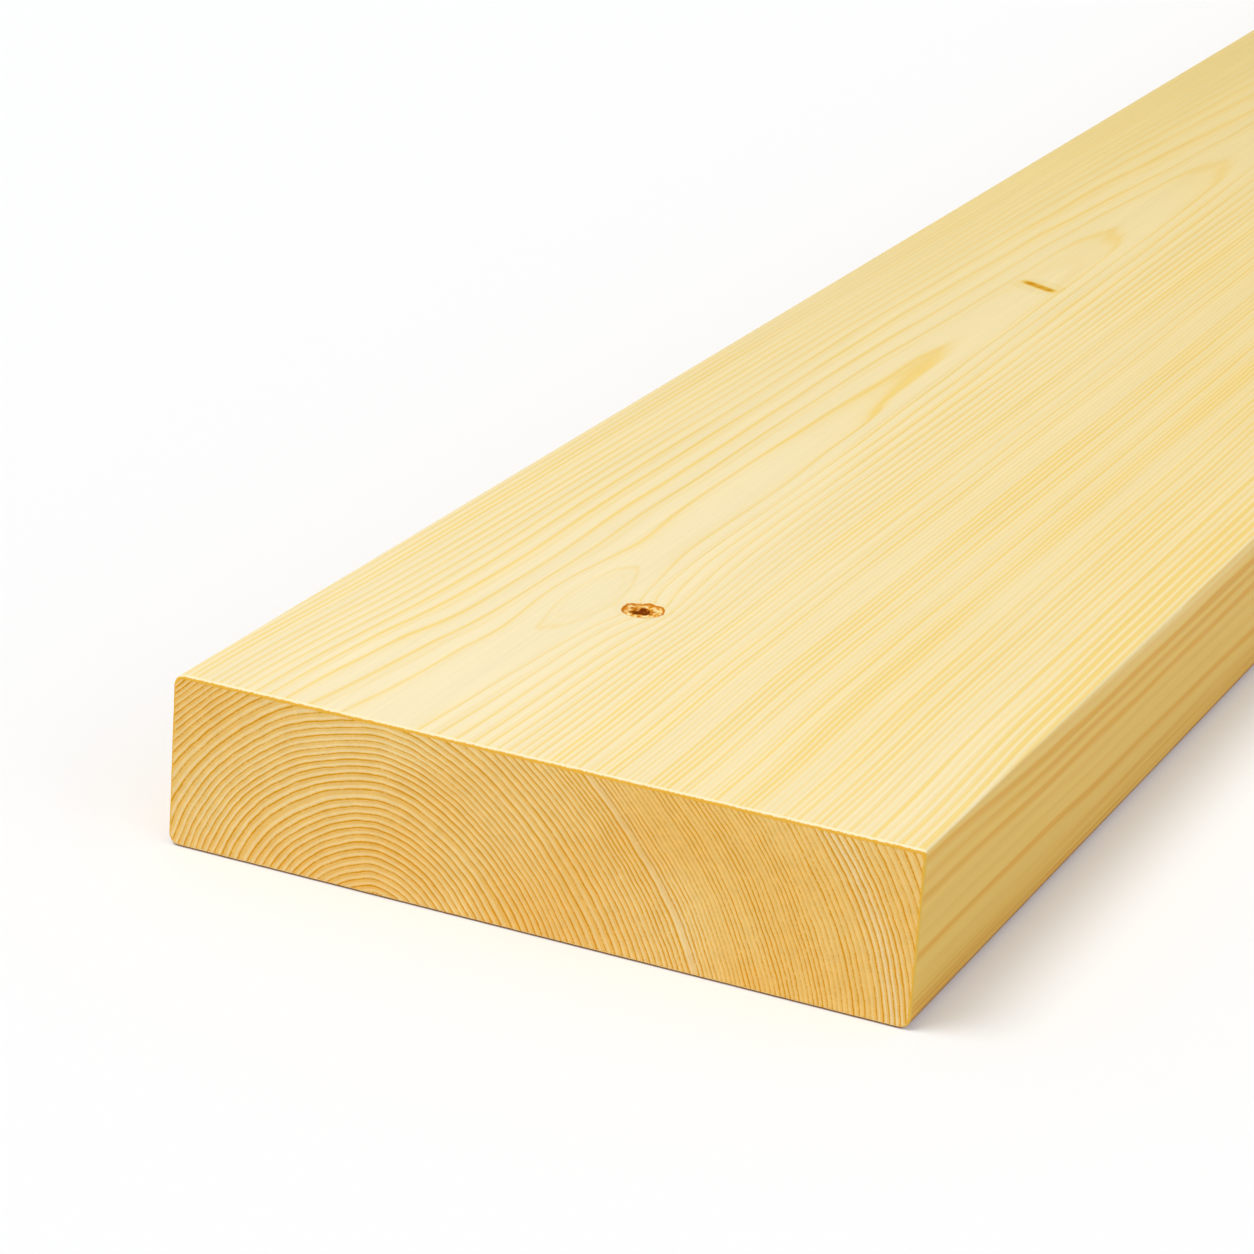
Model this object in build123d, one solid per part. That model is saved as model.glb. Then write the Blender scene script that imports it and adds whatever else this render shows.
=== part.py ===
from build123d import *
import os

# Softwood plank, planed on all four sides and cross-cut square at both ends.
# X runs across the face, Y along the length from the near end to the far end, and Z is up.
# The origin is at the middle of the underside. All sizes are in millimetres.

# Sawn and planed stock
length = 2400.0
width = 195.0
thickness = 45.0
arris_radius = 3.0
crisp_arris_radius = 1.0
end_edge_radius = 0.5

# Knot in the upper face: a dried branch stub that has shrunk below the face, inside the groove of
# its lost bark, with a chip out of its middle
knot_from_near_end = 106.4
knot_from_middle = -20.6
knot_diameter = 11.2
knot_sink = 0.3
bark_groove_width = 1.0
bark_groove_depth = 0.8
chip_diameter = 4.6
chip_depth = 1.0
chip_shift_across = -0.3
chip_shift_along = -0.4

# Resin pocket in the upper face: a boat-shaped hollow that lies aslant to the grain
pocket_from_near_end = 464.5
pocket_from_middle = -38.0
pocket_length = 14.0
pocket_width = 2.6
pocket_depth = 0.5
pocket_turn = -27.0

# How far a cutting shape reaches above the face that it cuts
cut_overrun = 2.0


def arc_radius(chord, rise):
    """Radius of the arc that rises by `rise` over the middle of `chord`."""
    return ((chord / 2) ** 2 + rise**2) / (2 * rise)


def on_upper_face(from_middle, from_near_end):
    """Place a cutting shape on the upper face, measured from its middle line and the near end."""
    return Pos(from_middle, from_near_end - length / 2, thickness)


def planed_section():
    """The section across the grain: three well rounded arrises and a crisp one at the upper right."""
    section = Rectangle(width, thickness)
    upper_right = (width / 2, thickness / 2, 0)
    corners = section.vertices().sort_by_distance(upper_right)
    section = fillet(corners[1:], arris_radius)
    corners = section.vertices().sort_by_distance(upper_right)
    return fillet(corners[:1], crisp_arris_radius)


def planed_stock():
    """The section drawn out to the plank's length, with the rims of both ends eased."""
    section = Plane.XZ * Pos(0, thickness / 2) * planed_section()
    stock = extrude(section, amount=length / 2, both=True)
    ends = stock.faces().sort_by(Axis.Y)
    rims = ends[0].edges() + ends[-1].edges()
    return fillet(rims, end_edge_radius)


def knot_face():
    """The space above the sunk face of the knot, with the bark groove round it."""
    outer = knot_diameter / 2
    inner = outer - bark_groove_width
    lowest = ((inner + outer) / 2, -bark_groove_depth)
    groove = ThreePointArc((inner, -knot_sink), lowest, (outer, 0))
    rest = Polyline((outer, 0), (outer, cut_overrun), (0, cut_overrun), (0, -knot_sink), (inner, -knot_sink))
    profile = Plane.XZ * make_face(groove + rest)
    return revolve(profile, axis=Axis.Z)


def knot_chip():
    """A round dish, chipped out of the knot below its sunk face."""
    ball_radius = arc_radius(chip_diameter, chip_depth)
    ball_height = ball_radius - chip_depth - knot_sink
    return Pos(chip_shift_across, chip_shift_along, ball_height) * Sphere(ball_radius)


def resin_pocket():
    """A lemon-shaped cutter whose lower side leaves a hollow of the pocket's length and width."""
    waist = arc_radius(pocket_width, pocket_depth)
    bow = arc_radius(pocket_length, pocket_depth)
    half_tip_to_tip = (2 * bow * waist - waist**2) ** 0.5
    side = ThreePointArc((-half_tip_to_tip, 0), (0, waist), (half_tip_to_tip, 0))
    core = Line((half_tip_to_tip, 0), (-half_tip_to_tip, 0))
    lemon = revolve(make_face(side + core), axis=Axis.X)
    return Pos(0, 0, waist - pocket_depth) * Rot(0, 0, pocket_turn) * lemon


def plank():
    """The whole plank: one piece of timber with its knot and its resin pocket."""
    knot_place = on_upper_face(knot_from_middle, knot_from_near_end)
    pocket_place = on_upper_face(pocket_from_middle, pocket_from_near_end)
    timber = planed_stock()
    timber -= knot_place * knot_face()
    timber -= knot_place * knot_chip()
    timber -= pocket_place * resin_pocket()
    return timber


os.makedirs("parts", exist_ok=True)
export_step(plank(), "parts/plank.step")
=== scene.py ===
"""The look of a planed softwood plank: sawn ends with their growth rings, a dead knot and a resin pocket."""

import logging
import math
from collections.abc import Iterable
from dataclasses import dataclass, field
from enum import Enum

import bmesh
import bpy
import numpy as np
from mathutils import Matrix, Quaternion, Vector
from mathutils.geometry import delaunay_2d_cdt


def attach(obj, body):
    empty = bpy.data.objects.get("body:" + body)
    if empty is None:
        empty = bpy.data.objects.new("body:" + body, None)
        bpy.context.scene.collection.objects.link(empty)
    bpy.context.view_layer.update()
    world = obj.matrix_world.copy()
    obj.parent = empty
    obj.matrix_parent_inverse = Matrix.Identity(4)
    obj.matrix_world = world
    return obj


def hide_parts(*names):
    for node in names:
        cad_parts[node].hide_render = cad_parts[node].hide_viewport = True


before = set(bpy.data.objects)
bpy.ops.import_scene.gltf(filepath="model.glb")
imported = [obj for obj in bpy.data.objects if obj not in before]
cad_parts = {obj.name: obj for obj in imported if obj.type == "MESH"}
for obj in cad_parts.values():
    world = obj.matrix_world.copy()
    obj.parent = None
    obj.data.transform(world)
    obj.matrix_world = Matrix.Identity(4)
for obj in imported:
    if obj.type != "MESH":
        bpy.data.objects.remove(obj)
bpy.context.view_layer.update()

log = logging.getLogger("plank")

MM = 0.001

Rgb = tuple[float, float, float]
Curve = tuple[tuple[float, float], ...]
Rows = tuple[tuple[float, ...], ...]
Array = np.ndarray
Tree = bpy.types.NodeTree
Socket = bpy.types.NodeSocket


def smooth(low: float, high: float, value: Array) -> Array:
    """Ease a number from 0 at low to 1 at high.

    Args:
        low: Where the ease starts.
        high: Where it ends.
        value: The numbers to ease.

    Returns:
        The eased numbers, from 0 to 1.
    """
    t = np.clip((value - low) / (high - low), 0, 1)
    return t * t * (3 - 2 * t)


def plug(tree: Tree, value: "Term | Socket | float | str | tuple[float, ...]", slot: Socket) -> None:
    """Link a term to a socket, or set the socket's own value.

    Args:
        tree: The tree that holds both.
        value: What goes in.
        slot: The socket that takes it.
    """
    source = value.socket if isinstance(value, Term) else value
    if isinstance(source, Socket):
        tree.links.new(source, slot)
    else:
        slot.default_value = source


def node(tree: Tree, kind: str, inputs: dict[int | str, object], **settings: str) -> bpy.types.Node:
    """Add a node to a tree.

    Args:
        tree: The tree.
        kind: Blender's name for the kind of node.
        inputs: What goes into its sockets, by their names or numbers.
        settings: What its own settings are.

    Returns:
        The node.
    """
    made = tree.nodes.new(kind)
    for name, setting in settings.items():
        setattr(made, name, setting)
    for slot, value in inputs.items():
        plug(tree, value, made.inputs[slot])
    return made


@dataclass(frozen=True)
class Term:
    """A number inside a node tree, which Python's own signs can work with."""

    tree: Tree
    socket: Socket

    def maths(self, operation: str, *others: "Term | float") -> "Term":
        """Add one Math node.

        Args:
            operation: Blender's name for the operation.
            others: The second and third numbers, where it takes them.

        Returns:
            The result.
        """
        made = node(self.tree, "ShaderNodeMath", dict(enumerate((self, *others))), operation=operation)
        return Term(self.tree, made.outputs[0])

    def __add__(self, other: "Term | float") -> "Term":
        """Add."""
        return self.maths("ADD", other)

    def __sub__(self, other: "Term | float") -> "Term":
        """Subtract."""
        return self.maths("SUBTRACT", other)

    def __rsub__(self, other: float) -> "Term":
        """Subtract from a plain number."""
        return (self * -1.0) + other

    def __mul__(self, other: "Term | float") -> "Term":
        """Multiply."""
        return self.maths("MULTIPLY", other)

    def __truediv__(self, other: "Term | float") -> "Term":
        """Divide."""
        return self.maths("DIVIDE", other)

    def __pow__(self, other: float) -> "Term":
        """Raise to a power."""
        return self.maths("POWER", other)

    __radd__ = __add__
    __rmul__ = __mul__

    def size(self) -> "Term":
        """Drop the sign."""
        return self.maths("ABSOLUTE")

    def hump(self, width: float) -> "Term":
        """A bell that is 1 where the number is 0 and fades over the width."""
        scaled = self / width
        return (scaled * scaled * -1.0).maths("EXPONENT")

    def at_least(self, floor: "Term | float") -> "Term":
        """Raise it to the floor where it is lower."""
        return self.maths("MAXIMUM", floor)

    def at_most(self, top: "Term | float") -> "Term":
        """Lower it to the top where it is higher."""
        return self.maths("MINIMUM", top)

    def ease(self, low: float, high: float) -> "Term":
        """Ease from 0 at low to 1 at high.

        Args:
            low: Where the ease starts. It may be the larger number.
            high: Where it ends.

        Returns:
            The eased number.
        """
        span = {"From Min": min(low, high), "From Max": max(low, high)}
        ends = {"To Min": float(low > high), "To Max": float(low < high)}
        inputs = {"Value": self} | span | ends
        made = node(self.tree, "ShaderNodeMapRange", inputs, interpolation_type="SMOOTHSTEP")
        return Term(self.tree, made.outputs["Result"])

    def curve(self, points: Curve) -> "Term":
        """Read the number off a drawn curve.

        Args:
            points: Places along the curve and their heights, in order.

        Returns:
            The height of the curve.
        """
        low, high = points[0][0], points[-1][0]
        share = ((self - low) / (high - low)).at_most(1.0).at_least(0.0)
        made = node(self.tree, "ShaderNodeFloatCurve", {"Value": share})
        made.mapping.use_clip = False
        line = made.mapping.curves[0]
        for place, height in points[1:-1]:
            line.points.new((place - low) / (high - low), height)
        line.points[0].location = (0.0, points[0][1])
        line.points[-1].location = (1.0, points[-1][1])
        made.mapping.update()
        return Term(self.tree, made.outputs[0])


@dataclass(frozen=True)
class Place:
    """A point in the timber, in millimetres: across the face, along from the near end, and up."""

    x: Term
    y: Term
    z: Term

    @staticmethod
    def read(tree: Tree, vector: Socket, stock: "Stock") -> "Place":
        """Split a position in metres.

        Args:
            tree: The tree to work in.
            vector: The position, in the frame of the part.
            stock: The sizes of the plank.

        Returns:
            The point in millimetres, measured from the near end.
        """
        split = node(tree, "ShaderNodeSeparateXYZ", {0: vector})
        x, y, z = (Term(tree, out) * (1.0 / MM) for out in split.outputs)
        return Place(x, y + stock.length / 2, z)

    def grain(self, across: float, along: float, seed: float, detail: float = 0.0, up: float = 0.0) -> Term:
        """Smooth random variation that is drawn out along the grain.

        Args:
            across: How wide its patches are.
            along: How long they are.
            seed: Where in the endless pattern it starts.
            detail: How many finer layers lie on it.
            up: How high its patches are, or 0 for as wide as across.

        Returns:
            A number around 0, seldom beyond 0.4 either way.
        """
        tree = self.x.tree
        scaled = (self.x / across + seed, self.y / along + seed * 1.7, self.z / (up or across) + seed * 2.3)
        joined = node(tree, "ShaderNodeCombineXYZ", dict(enumerate(scaled)))
        made = node(tree, "ShaderNodeTexNoise", {"Vector": joined.outputs[0], "Scale": 1.0, "Detail": detail})
        return Term(tree, made.outputs[0]) - 0.5


@dataclass(frozen=True)
class Run:
    """One flat of the section with the arris after it.

    Attributes:
        angle: Which way the flat runs.
        start: Where it starts on the way round.
        end: Where it ends and the arris starts.
        after: Where the arris ends.
        radius: The radius of the arris.
        centre: The middle of that radius, from the middle of the section.
    """

    angle: float
    start: float
    end: float
    after: float
    radius: float
    centre: tuple[float, float]


@dataclass(frozen=True)
class Stock:
    """The sizes of the sawn and planed stock, in millimetres."""

    length: float = 2400.0
    width: float = 195.0
    thickness: float = 45.0
    arris: float = 3.0
    crisp_arris: float = 1.0
    rim: float = 0.5

    @property
    def runs(self) -> list["Run"]:
        """The flats, each with the arris after it.

        Returns:
            The four, going round from the left end of the underside.
        """
        sides = (self.width, self.thickness, self.width, self.thickness)
        radii = (self.arris, self.crisp_arris, self.arris, self.arris)
        corners = ((1, -1), (1, 1), (-1, 1), (-1, -1))
        runs: list[Run] = []
        way = 0.0
        for turn, (side, radius, (x, z)) in enumerate(zip(sides, radii, corners)):
            end = way + side - radius - radii[turn - 1]
            centre = (x * (self.width / 2 - radius), z * (self.thickness / 2 - radius))
            runs.append(Run(math.pi / 2 * turn, way, end, end + math.pi / 2 * radius, radius, centre))
            way = runs[-1].after
        return runs

    @property
    def around(self) -> float:
        """The way round the whole section."""
        return self.runs[-1].after

    @property
    def upper(self) -> "Run":
        """The flat of the upper face, which starts at its right side."""
        return self.runs[2]

    def outline(self, way: Array, inset: Array | float = 0.0) -> tuple[Array, Array]:
        """Points on the section's outline.

        Args:
            way: The way round, starting at the left end of the underside's flat.
            inset: How far inside the outline.

        Returns:
            The points, and the outward directions there.
        """
        way = np.asarray(way, float)
        point = np.zeros((len(way), 2))
        out = np.zeros((len(way), 2))
        for run in self.runs:
            ahead = np.array([math.cos(run.angle), math.sin(run.angle)])
            outward = np.array([ahead[1], -ahead[0]])
            past = way - run.end
            on_flat = (way >= run.start - 1e-9) & (past <= 1e-9)
            point[on_flat] = (run.centre + outward * run.radius + past[:, None] * ahead)[on_flat]
            out[on_flat] = outward
            on_arc = (past > 1e-9) & (way <= run.after + 1e-9)
            bend = run.angle - math.pi / 2 + past / run.radius
            spoke = np.stack([np.cos(bend), np.sin(bend)], 1)
            point[on_arc] = (run.centre + spoke * run.radius)[on_arc]
            out[on_arc] = spoke[on_arc]
        point -= out * np.broadcast_to(inset, way.shape)[:, None]
        point[:, 1] += self.thickness / 2
        return point, out

    def depth_inside(self, x: Array, z: Array) -> Array:
        """Measure how far points lie inside the section's outline.

        Args:
            x: Places across the face.
            z: Heights.

        Returns:
            The depths.
        """
        radius = np.where((x > 0) & (z > self.thickness / 2), self.crisp_arris, self.arris)
        up = np.abs(z - self.thickness / 2) - self.thickness / 2
        over = np.stack([np.abs(x) - self.width / 2, up]) + radius
        return radius - np.linalg.norm(np.maximum(over, 0), axis=0) - np.minimum(over.max(0), 0)

    def wire_depth_inside(self, place: Place) -> Term:
        """Measure the same inside a node tree.

        Args:
            place: The point in the timber.

        Returns:
            The depth.
        """
        crisp = place.x.maths("GREATER_THAN", 0.0) * place.z.maths("GREATER_THAN", self.thickness / 2)
        radius = self.arris - crisp * (self.arris - self.crisp_arris)
        across = place.x.size() - self.width / 2 + radius
        up = (place.z - self.thickness / 2).size() - self.thickness / 2 + radius
        out_x, out_z = across.at_least(0.0), up.at_least(0.0)
        past_arris = (out_x * out_x + out_z * out_z) ** 0.5
        return radius - past_arris - across.at_least(up).at_most(0.0)


@dataclass(frozen=True)
class KnotSizes:
    """The dead knot in the upper face, in millimetres."""

    x: float = -20.6
    y: float = 106.4
    radius: float = 5.6
    groove: float = 1.0
    groove_depth: float = 0.8
    sink: float = 0.3
    chip_radius: float = 2.3
    chip_depth: float = 1.0
    chip_x: float = -0.3
    chip_y: float = -0.4


@dataclass(frozen=True)
class PocketSizes:
    """The resin pocket in the upper face, in millimetres."""

    x: float = -38.0
    y: float = 464.5
    length: float = 14.0
    width: float = 2.6
    depth: float = 0.5
    turn: float = math.radians(-27.0)

    def own_axes(self, x: "Array | Term", y: "Array | Term") -> tuple["Array | Term", "Array | Term"]:
        """Turn a place on the face to the pocket's own axes.

        Args:
            x: The place across the face.
            y: The place along the plank.

        Returns:
            The places along and across the pocket, from its middle.
        """
        x, y = x - self.x, y - self.y
        cos, sin = math.cos(self.turn), math.sin(self.turn)
        return x * cos + y * sin, y * cos - x * sin


@dataclass(frozen=True)
class RingTerms:
    """What the ring rule gives at a point.

    Attributes:
        age: The tree's age when the wood there grew, in years.
        girth: How far out the wood lies, in millimetres at the near end.
        past: Millimetres past the middle of the nearest dark line, outwards.
        off: The same in rings, from -0.5 to 0.5.
        chance: A random number for that line, from 0 to 1.
        slope: How much the girth grows for each millimetre across the face.
        lift: How much it grows for each millimetre up.
    """

    age: Term
    girth: Term
    past: Term
    off: Term
    chance: Term
    slope: Term
    lift: Term


@dataclass(frozen=True)
class Swell:
    """A place beside the knot where the rings bend inwards, in millimetres from the knot's middle."""

    x: float
    y: float
    width: float
    length: float
    height: float

    def at(self, x: Term, y: Term) -> Term:
        """How far inwards the rings bend at a point."""
        return (x - self.x).hump(self.width) * (y - self.y).hump(self.length) * self.height


@dataclass(frozen=True)
class GrowthRings:
    """The rule that every growth ring in the plank follows, in millimetres and years.

    Attributes:
        pith_x: Where the pith lies across the plank.
        pith_z: How high it lies.
        lean: How far it leans across for each millimetre up.
        roundness: The power of the rings' shape, 2 for a circle.
        taper: How much the stem narrows for each millimetre along.
        sways: Lengths along the plank, and how far the stem winds over each.
        drift: How far the rings above the pith lie to the right.
        drift_width: How far out that reaches.
        drift_start: How soon it sets in from the near end.
        drift_left: How much of it is missing at the near end.
        bulges: Where bulges start and end across the plank, and how they grow with the height.
        ridge: How far the wood above the pith dips on its way along, which draws the arches.
        ridge_width: How wide that dip is.
        crest: How far the rings beside the dip are crowded.
        flat: How much flatter the rings above the pith become.
        swells: The bends round the knot.
        wanders: The width, length and seed of slow unevenness, and its height.
        first_age: The age at the pith.
        rings_per_mm: How many rings there are to a millimetre.
        fast_from: Where narrower rings start.
        fast_to: Where they end.
        fast_gain: How many more rings to a millimetre they are.
        late_gain: The same for the wood outside them.
        wide_rings: Where single rings are wider, over what distance and by what share of a ring.
        waves: The pace, start and height of slow changes in the rings' width.
        gap: Where a group of rings stands apart, how wide it is and by how many rings.
    """

    pith_x: float = -39.45
    pith_z: float = -13.03
    lean: float = -0.127
    roundness: float = 1.748
    taper: float = 0.003
    sways: Curve = ((96.0, 1.6), (260.0, 1.5))
    drift: float = 8.5
    drift_width: float = 28.0
    drift_start: float = 35.0
    drift_left: float = 0.4
    bulges: Rows = ((20, 90, 1.86, -5.33), (70, 100, 0.0, -3.9), (-60, -100, 2.5, 1.2))
    ridge: Curve = (
        (0, 0.6), (60, 0.8), (110, 1.8), (200, 0.4), (300, 0.7), (365, 1.0), (450, 1.7), (542, 2.6),
        (665, 4.6), (850, 7.4), (1100, 9.5), (1500, 9.1), (1900, 6.0), (2400, 2.0),
    )
    ridge_width: float = 28.0
    crest: float = 1.2
    flat: float = 0.55
    swells: tuple[Swell, ...] = (
        Swell(0, 0, 20.0, 40.0, 2.6), Swell(0, 0, 6.5, 11.0, 1.6), Swell(-17.4, 4.6, 9.0, 30.0, 2.1),
    )
    wanders: Rows = ((17.0, 150.0, 3.1, 0.95), (4.6, 50.0, 8.4, 0.40), (1.5, 40.0, 12.7, 0.15))
    first_age: float = -1.42
    rings_per_mm: float = 0.5446
    fast_from: float = 79.4
    fast_to: float = 130.7
    fast_gain: float = 0.2816
    late_gain: float = 0.09
    wide_rings: Rows = ((39.7, 0.8, 0.15), (87.0, 0.7, 0.42))
    waves: Rows = ((0.2957, -3.303, 0.21), (0.2135, 1.96, 0.2435))
    gap: tuple[float, float, float] = (87.0, 4.0, 0.45)

    def _stem(self, place: Place) -> tuple[Term, Term, Term]:
        """The girth in the stem, with its bulges at the sides.

        Args:
            place: The point in the timber.

        Returns:
            The girth, and how much it grows for each millimetre across the face and up.
        """
        rise = place.z - self.pith_z
        later = place.y.ease(150.0, 600.0)
        across = place.x - self.pith_x - rise * self.lean
        sway = sum((place.y / pace).maths("SINE") * reach for pace, reach in self.sways) + self.drift
        settled = 1.0 - (place.y / -self.drift_start).maths("EXPONENT") * self.drift_left
        across = across - sway * settled * place.z.ease(-10.0, 45.0) * (across - 4.0).hump(self.drift_width)
        flat = across.size() * (1.0 - later * across.hump(9.0) * self.flat)
        power = self.roundness
        girth = (flat**power + rise.size() ** power) ** (1.0 / power)
        slope, lift = (flat / girth) ** (power - 1.0), (rise.size() / girth) ** (power - 1.0)
        high = place.z / 45.0
        for start, end, square, straight in self.bulges:
            girth = girth + place.x.ease(start, end) * high * (high * square + straight)
        crest = later * across.size().ease(7.0, 17.0)
        crest = crest + (1.0 - later) * place.y.ease(15.0, 90.0) * across.size().ease(12.0, 21.0)
        girth = girth + crest * place.z.ease(15.0, 45.0) * self.crest
        girth = girth + place.y.curve(self.ridge) * across.hump(self.ridge_width) + place.y * self.taper
        return girth, slope, lift

    def _age(self, girth: Term) -> tuple[Term, Term]:
        """The age of the wood.

        Args:
            girth: How far out it lies.

        Returns:
            The age, and about how much it grows for each millimetre outwards.
        """
        fast = (girth - self.fast_from).at_least(0.0).at_most(self.fast_to - self.fast_from)
        late = (girth - self.fast_to).at_least(0.0)
        age = girth * self.rings_per_mm + self.first_age + fast * self.fast_gain + late * self.late_gain
        for middle, half, share in self.wide_rings:
            age = age - ((girth - middle) / half).maths("TANH") * share
        for pace, start, height in self.waves:
            age = age + (girth * pace + start).maths("SINE") * height
        middle, width, fewer = self.gap
        age = age - (girth - middle).hump(width) * fewer
        rate = self.rings_per_mm + girth.ease(self.fast_from - 2, self.fast_from + 2) * self.fast_gain
        fall = self.fast_gain - self.late_gain
        return age, rate - girth.ease(self.fast_to - 2, self.fast_to + 2) * fall

    def wire(self, place: Place, knot: KnotSizes) -> RingTerms:
        """Wire the rule into a shader or a geometry tree.

        Args:
            place: The point in the timber.
            knot: The knot that the rings bend round.

        Returns:
            The age of the wood and what the finish needs to draw the rings.
        """
        bend = sum(swell.at(place.x - knot.x, place.y - knot.y) for swell in self.swells)
        girth, slope, lift = self._stem(place)
        girth = girth - bend * place.z.ease(-40.0, 45.0)
        for width, length, seed, height in self.wanders:
            girth = girth + place.grain(width, length, seed) * height
        age, rate = self._age(girth)
        nearest = age.maths("ROUND")
        off = age - nearest
        return RingTerms(age, girth, off / rate, off, hashed(nearest, 0.37), slope, lift)


def hashed(value: Term, seed: float) -> Term:
    """Draw a random number that stays the same for the same value.

    Args:
        value: The value.
        seed: Which series of numbers.

    Returns:
        The number, from 0 to 1.
    """
    made = node(value.tree, "ShaderNodeTexWhiteNoise", {}, noise_dimensions="1D")
    plug(value.tree, value + seed, made.inputs["W"])
    return Term(value.tree, made.outputs["Value"])


@dataclass(frozen=True)
class Spot:
    """A point on the surface.

    Attributes:
        place: Where it lies.
        rings: The rings there.
        level: 1 where the surface faces up, and -1 where it faces down.
    """

    place: Place
    rings: RingTerms
    level: Term


@dataclass(frozen=True)
class TimberFinish:
    """The finish of the planed and sawn timber: colours of light, each from 0 to 1, and how rough it is.

    Attributes:
        stock: The sizes of the plank.
        rings: The rule that its growth rings follow.
        knot: The dead knot.
        pocket: The resin pocket.
        face_lines: How strongly the planed faces show a ring, by its girth.
        end_lines: How strongly the sawn ends show it.
        end_cream_rings: How pale the wood outside it is there.
        end_cream_bands: The girth, width and paleness of the palest rings.
        end_warmth: How warm the colour of the ends is, from left to right.
    """

    stock: Stock
    rings: GrowthRings
    knot: KnotSizes
    pocket: PocketSizes
    face: Rgb = (0.920, 0.792, 0.500)
    face_line: Rgb = (0.985, 0.850, 0.430)
    ochre_and_falloff_shade: Rgb = (0.810, 0.720, 0.380)
    edge: Rgb = (0.825, 0.553, 0.122)
    edge_top_highlight: Rgb = (0.97, 0.76, 0.33)
    edge_foot: Rgb = (1.0, 0.94, 0.80)
    edge_line: Rgb = (0.94, 0.755, 0.410)
    end: Rgb = (0.985, 0.680, 0.232)
    end_warm: Rgb = (0.97, 0.86, 0.66)
    end_line: Rgb = (0.79, 0.53, 0.025)
    end_cream: Rgb = (1.0, 1.14, 1.85)
    rim_highlight: Rgb = (0.99, 0.87, 0.55)
    rim_amber: Rgb = (0.95, 0.52, 0.060)
    rim_dull: Rgb = (0.93, 0.74, 0.36)
    rim_contact_shade: Rgb = (0.30, 0.11, 0.015)
    underside_shade: Rgb = (0.42, 0.17, 0.035)
    knot_pale: Rgb = (0.97, 0.79, 0.36)
    knot_tan: Rgb = (0.84, 0.43, 0.075)
    knot_amber: Rgb = (0.62, 0.21, 0.010)
    knot_dark: Rgb = (0.20, 0.042, 0.004)
    resin: Rgb = (0.76, 0.44, 0.065)
    resin_dark: Rgb = (0.58, 0.27, 0.012)
    face_rough: float = 0.52
    end_rough: float = 0.8
    face_gloss: float = 0.25
    bending_of_light: float = 1.42
    face_lines: Curve = (
        (0, 0.80), (57, 0.5), (58.8, 0.5), (59.6, 0.95), (67, 0.95), (75, 0.90), (84, 0.85), (96, 0.80),
        (103.5, 0.85), (105, 1.05), (107, 1.0), (108.3, 0.40), (110, 0.45), (112, 0.80), (124, 0.85),
        (130, 1.1), (134, 1.2), (137, 0.85), (142, 1.0), (145, 1.3), (160, 1.3),
    )
    end_lines: Curve = (
        (0, 1.0), (20, 1.1), (40, 1.05), (50, 0.9), (60, 0.95), (69, 0.9), (80, 0.85), (84, 1.1),
        (88, 1.2), (89.7, 0.5), (97, 0.6), (106, 0.6), (108.5, 0.85), (110, 0.85), (112, 0.5), (118, 0.62),
        (124, 0.5), (126.5, 0.8), (128, 0.5), (132, 0.6), (135, 1.15), (139, 1.1), (142, 0.7), (160, 0.8),
    )
    end_cream_rings: Curve = (
        (0, 0.65), (92, 0.65), (97, 0.25), (131, 0.25), (134, 0.9), (138, 0.9), (141, 0.3), (160, 0.3),
    )
    end_cream_bands: Rows = ((87.2, 1.0, 0.75), (135.8, 1.1, 0.5))
    end_warmth: Curve = (
        (-98, 0.25), (-75, 0.2), (-58, 0.0), (-40, 0.15), (-5, 0.4), (22, 0.1), (40, 0), (98, 0),
    )

    def material(self, part: "Part") -> bpy.types.Material:
        """Make the material of one part of the surface.

        Args:
            part: Which part.

        Returns:
            The material, with its colour, roughness and fine relief from nodes.
        """
        made = bpy.data.materials.new(FINISH_NAMES[part])
        made.use_nodes = True
        tree = made.node_tree
        coords = node(tree, "ShaderNodeTexCoord", {}).outputs
        facing = node(tree, "ShaderNodeSeparateXYZ", {0: coords["Normal"]})
        place = Place.read(tree, coords["Object"], self.stock)
        spot = Spot(place, self.rings.wire(place, self.knot), Term(tree, facing.outputs[2]))
        if part is Part.SAWN:
            colour = self._rims(spot, self._sawn(spot))
            speck = place.grain(0.28, 0.28, 9.6, 1.0)
            rough, relief = speck * 0.2 + self.end_rough, speck * 0.075
        else:
            colour = self._planed(spot)
            fibre = place.grain(0.30, 22.0, 5.2, 1.0, 0.30)
            rough, relief = fibre * 0.25 + self.face_rough, fibre * 0.030
        if part is Part.KNOT:
            colour = self._knot(place, colour)
        if part is Part.POCKET:
            colour = self._pocket(place, colour)
        bump = node(tree, "ShaderNodeBump", {"Distance": MM, "Height": relief})
        for name, value in {
            "Base Color": colour,
            "Roughness": rough,
            "IOR": self.bending_of_light,
            "Specular IOR Level": self.face_gloss if part is Part.PLANED else 0.0,
            "Normal": bump.outputs[0],
        }.items():
            plug(tree, value, tree.nodes["Principled BSDF"].inputs[name])
        return made

    @staticmethod
    def _mixed(share: "Term | float", first: "Term | Rgb", second: "Term | Rgb", way: str = "MIX") -> Term:
        """Mix two colours.

        Args:
            share: How much of the second, from 0 to 1.
            first: The first colour.
            second: The second colour.
            way: Blender's name for the way of mixing.

        Returns:
            The mixed colour.
        """
        tree = next(x.tree for x in (share, first, second) if isinstance(x, Term))
        first, second = (x if isinstance(x, Term) else (*x, 1.0) for x in (first, second))
        made = node(tree, "ShaderNodeMix", {}, data_type="RGBA", blend_type=way)
        for slot, value in ((0, share), (6, first), (7, second)):
            plug(tree, value, made.inputs[slot])
        return Term(tree, made.outputs[2])

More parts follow.
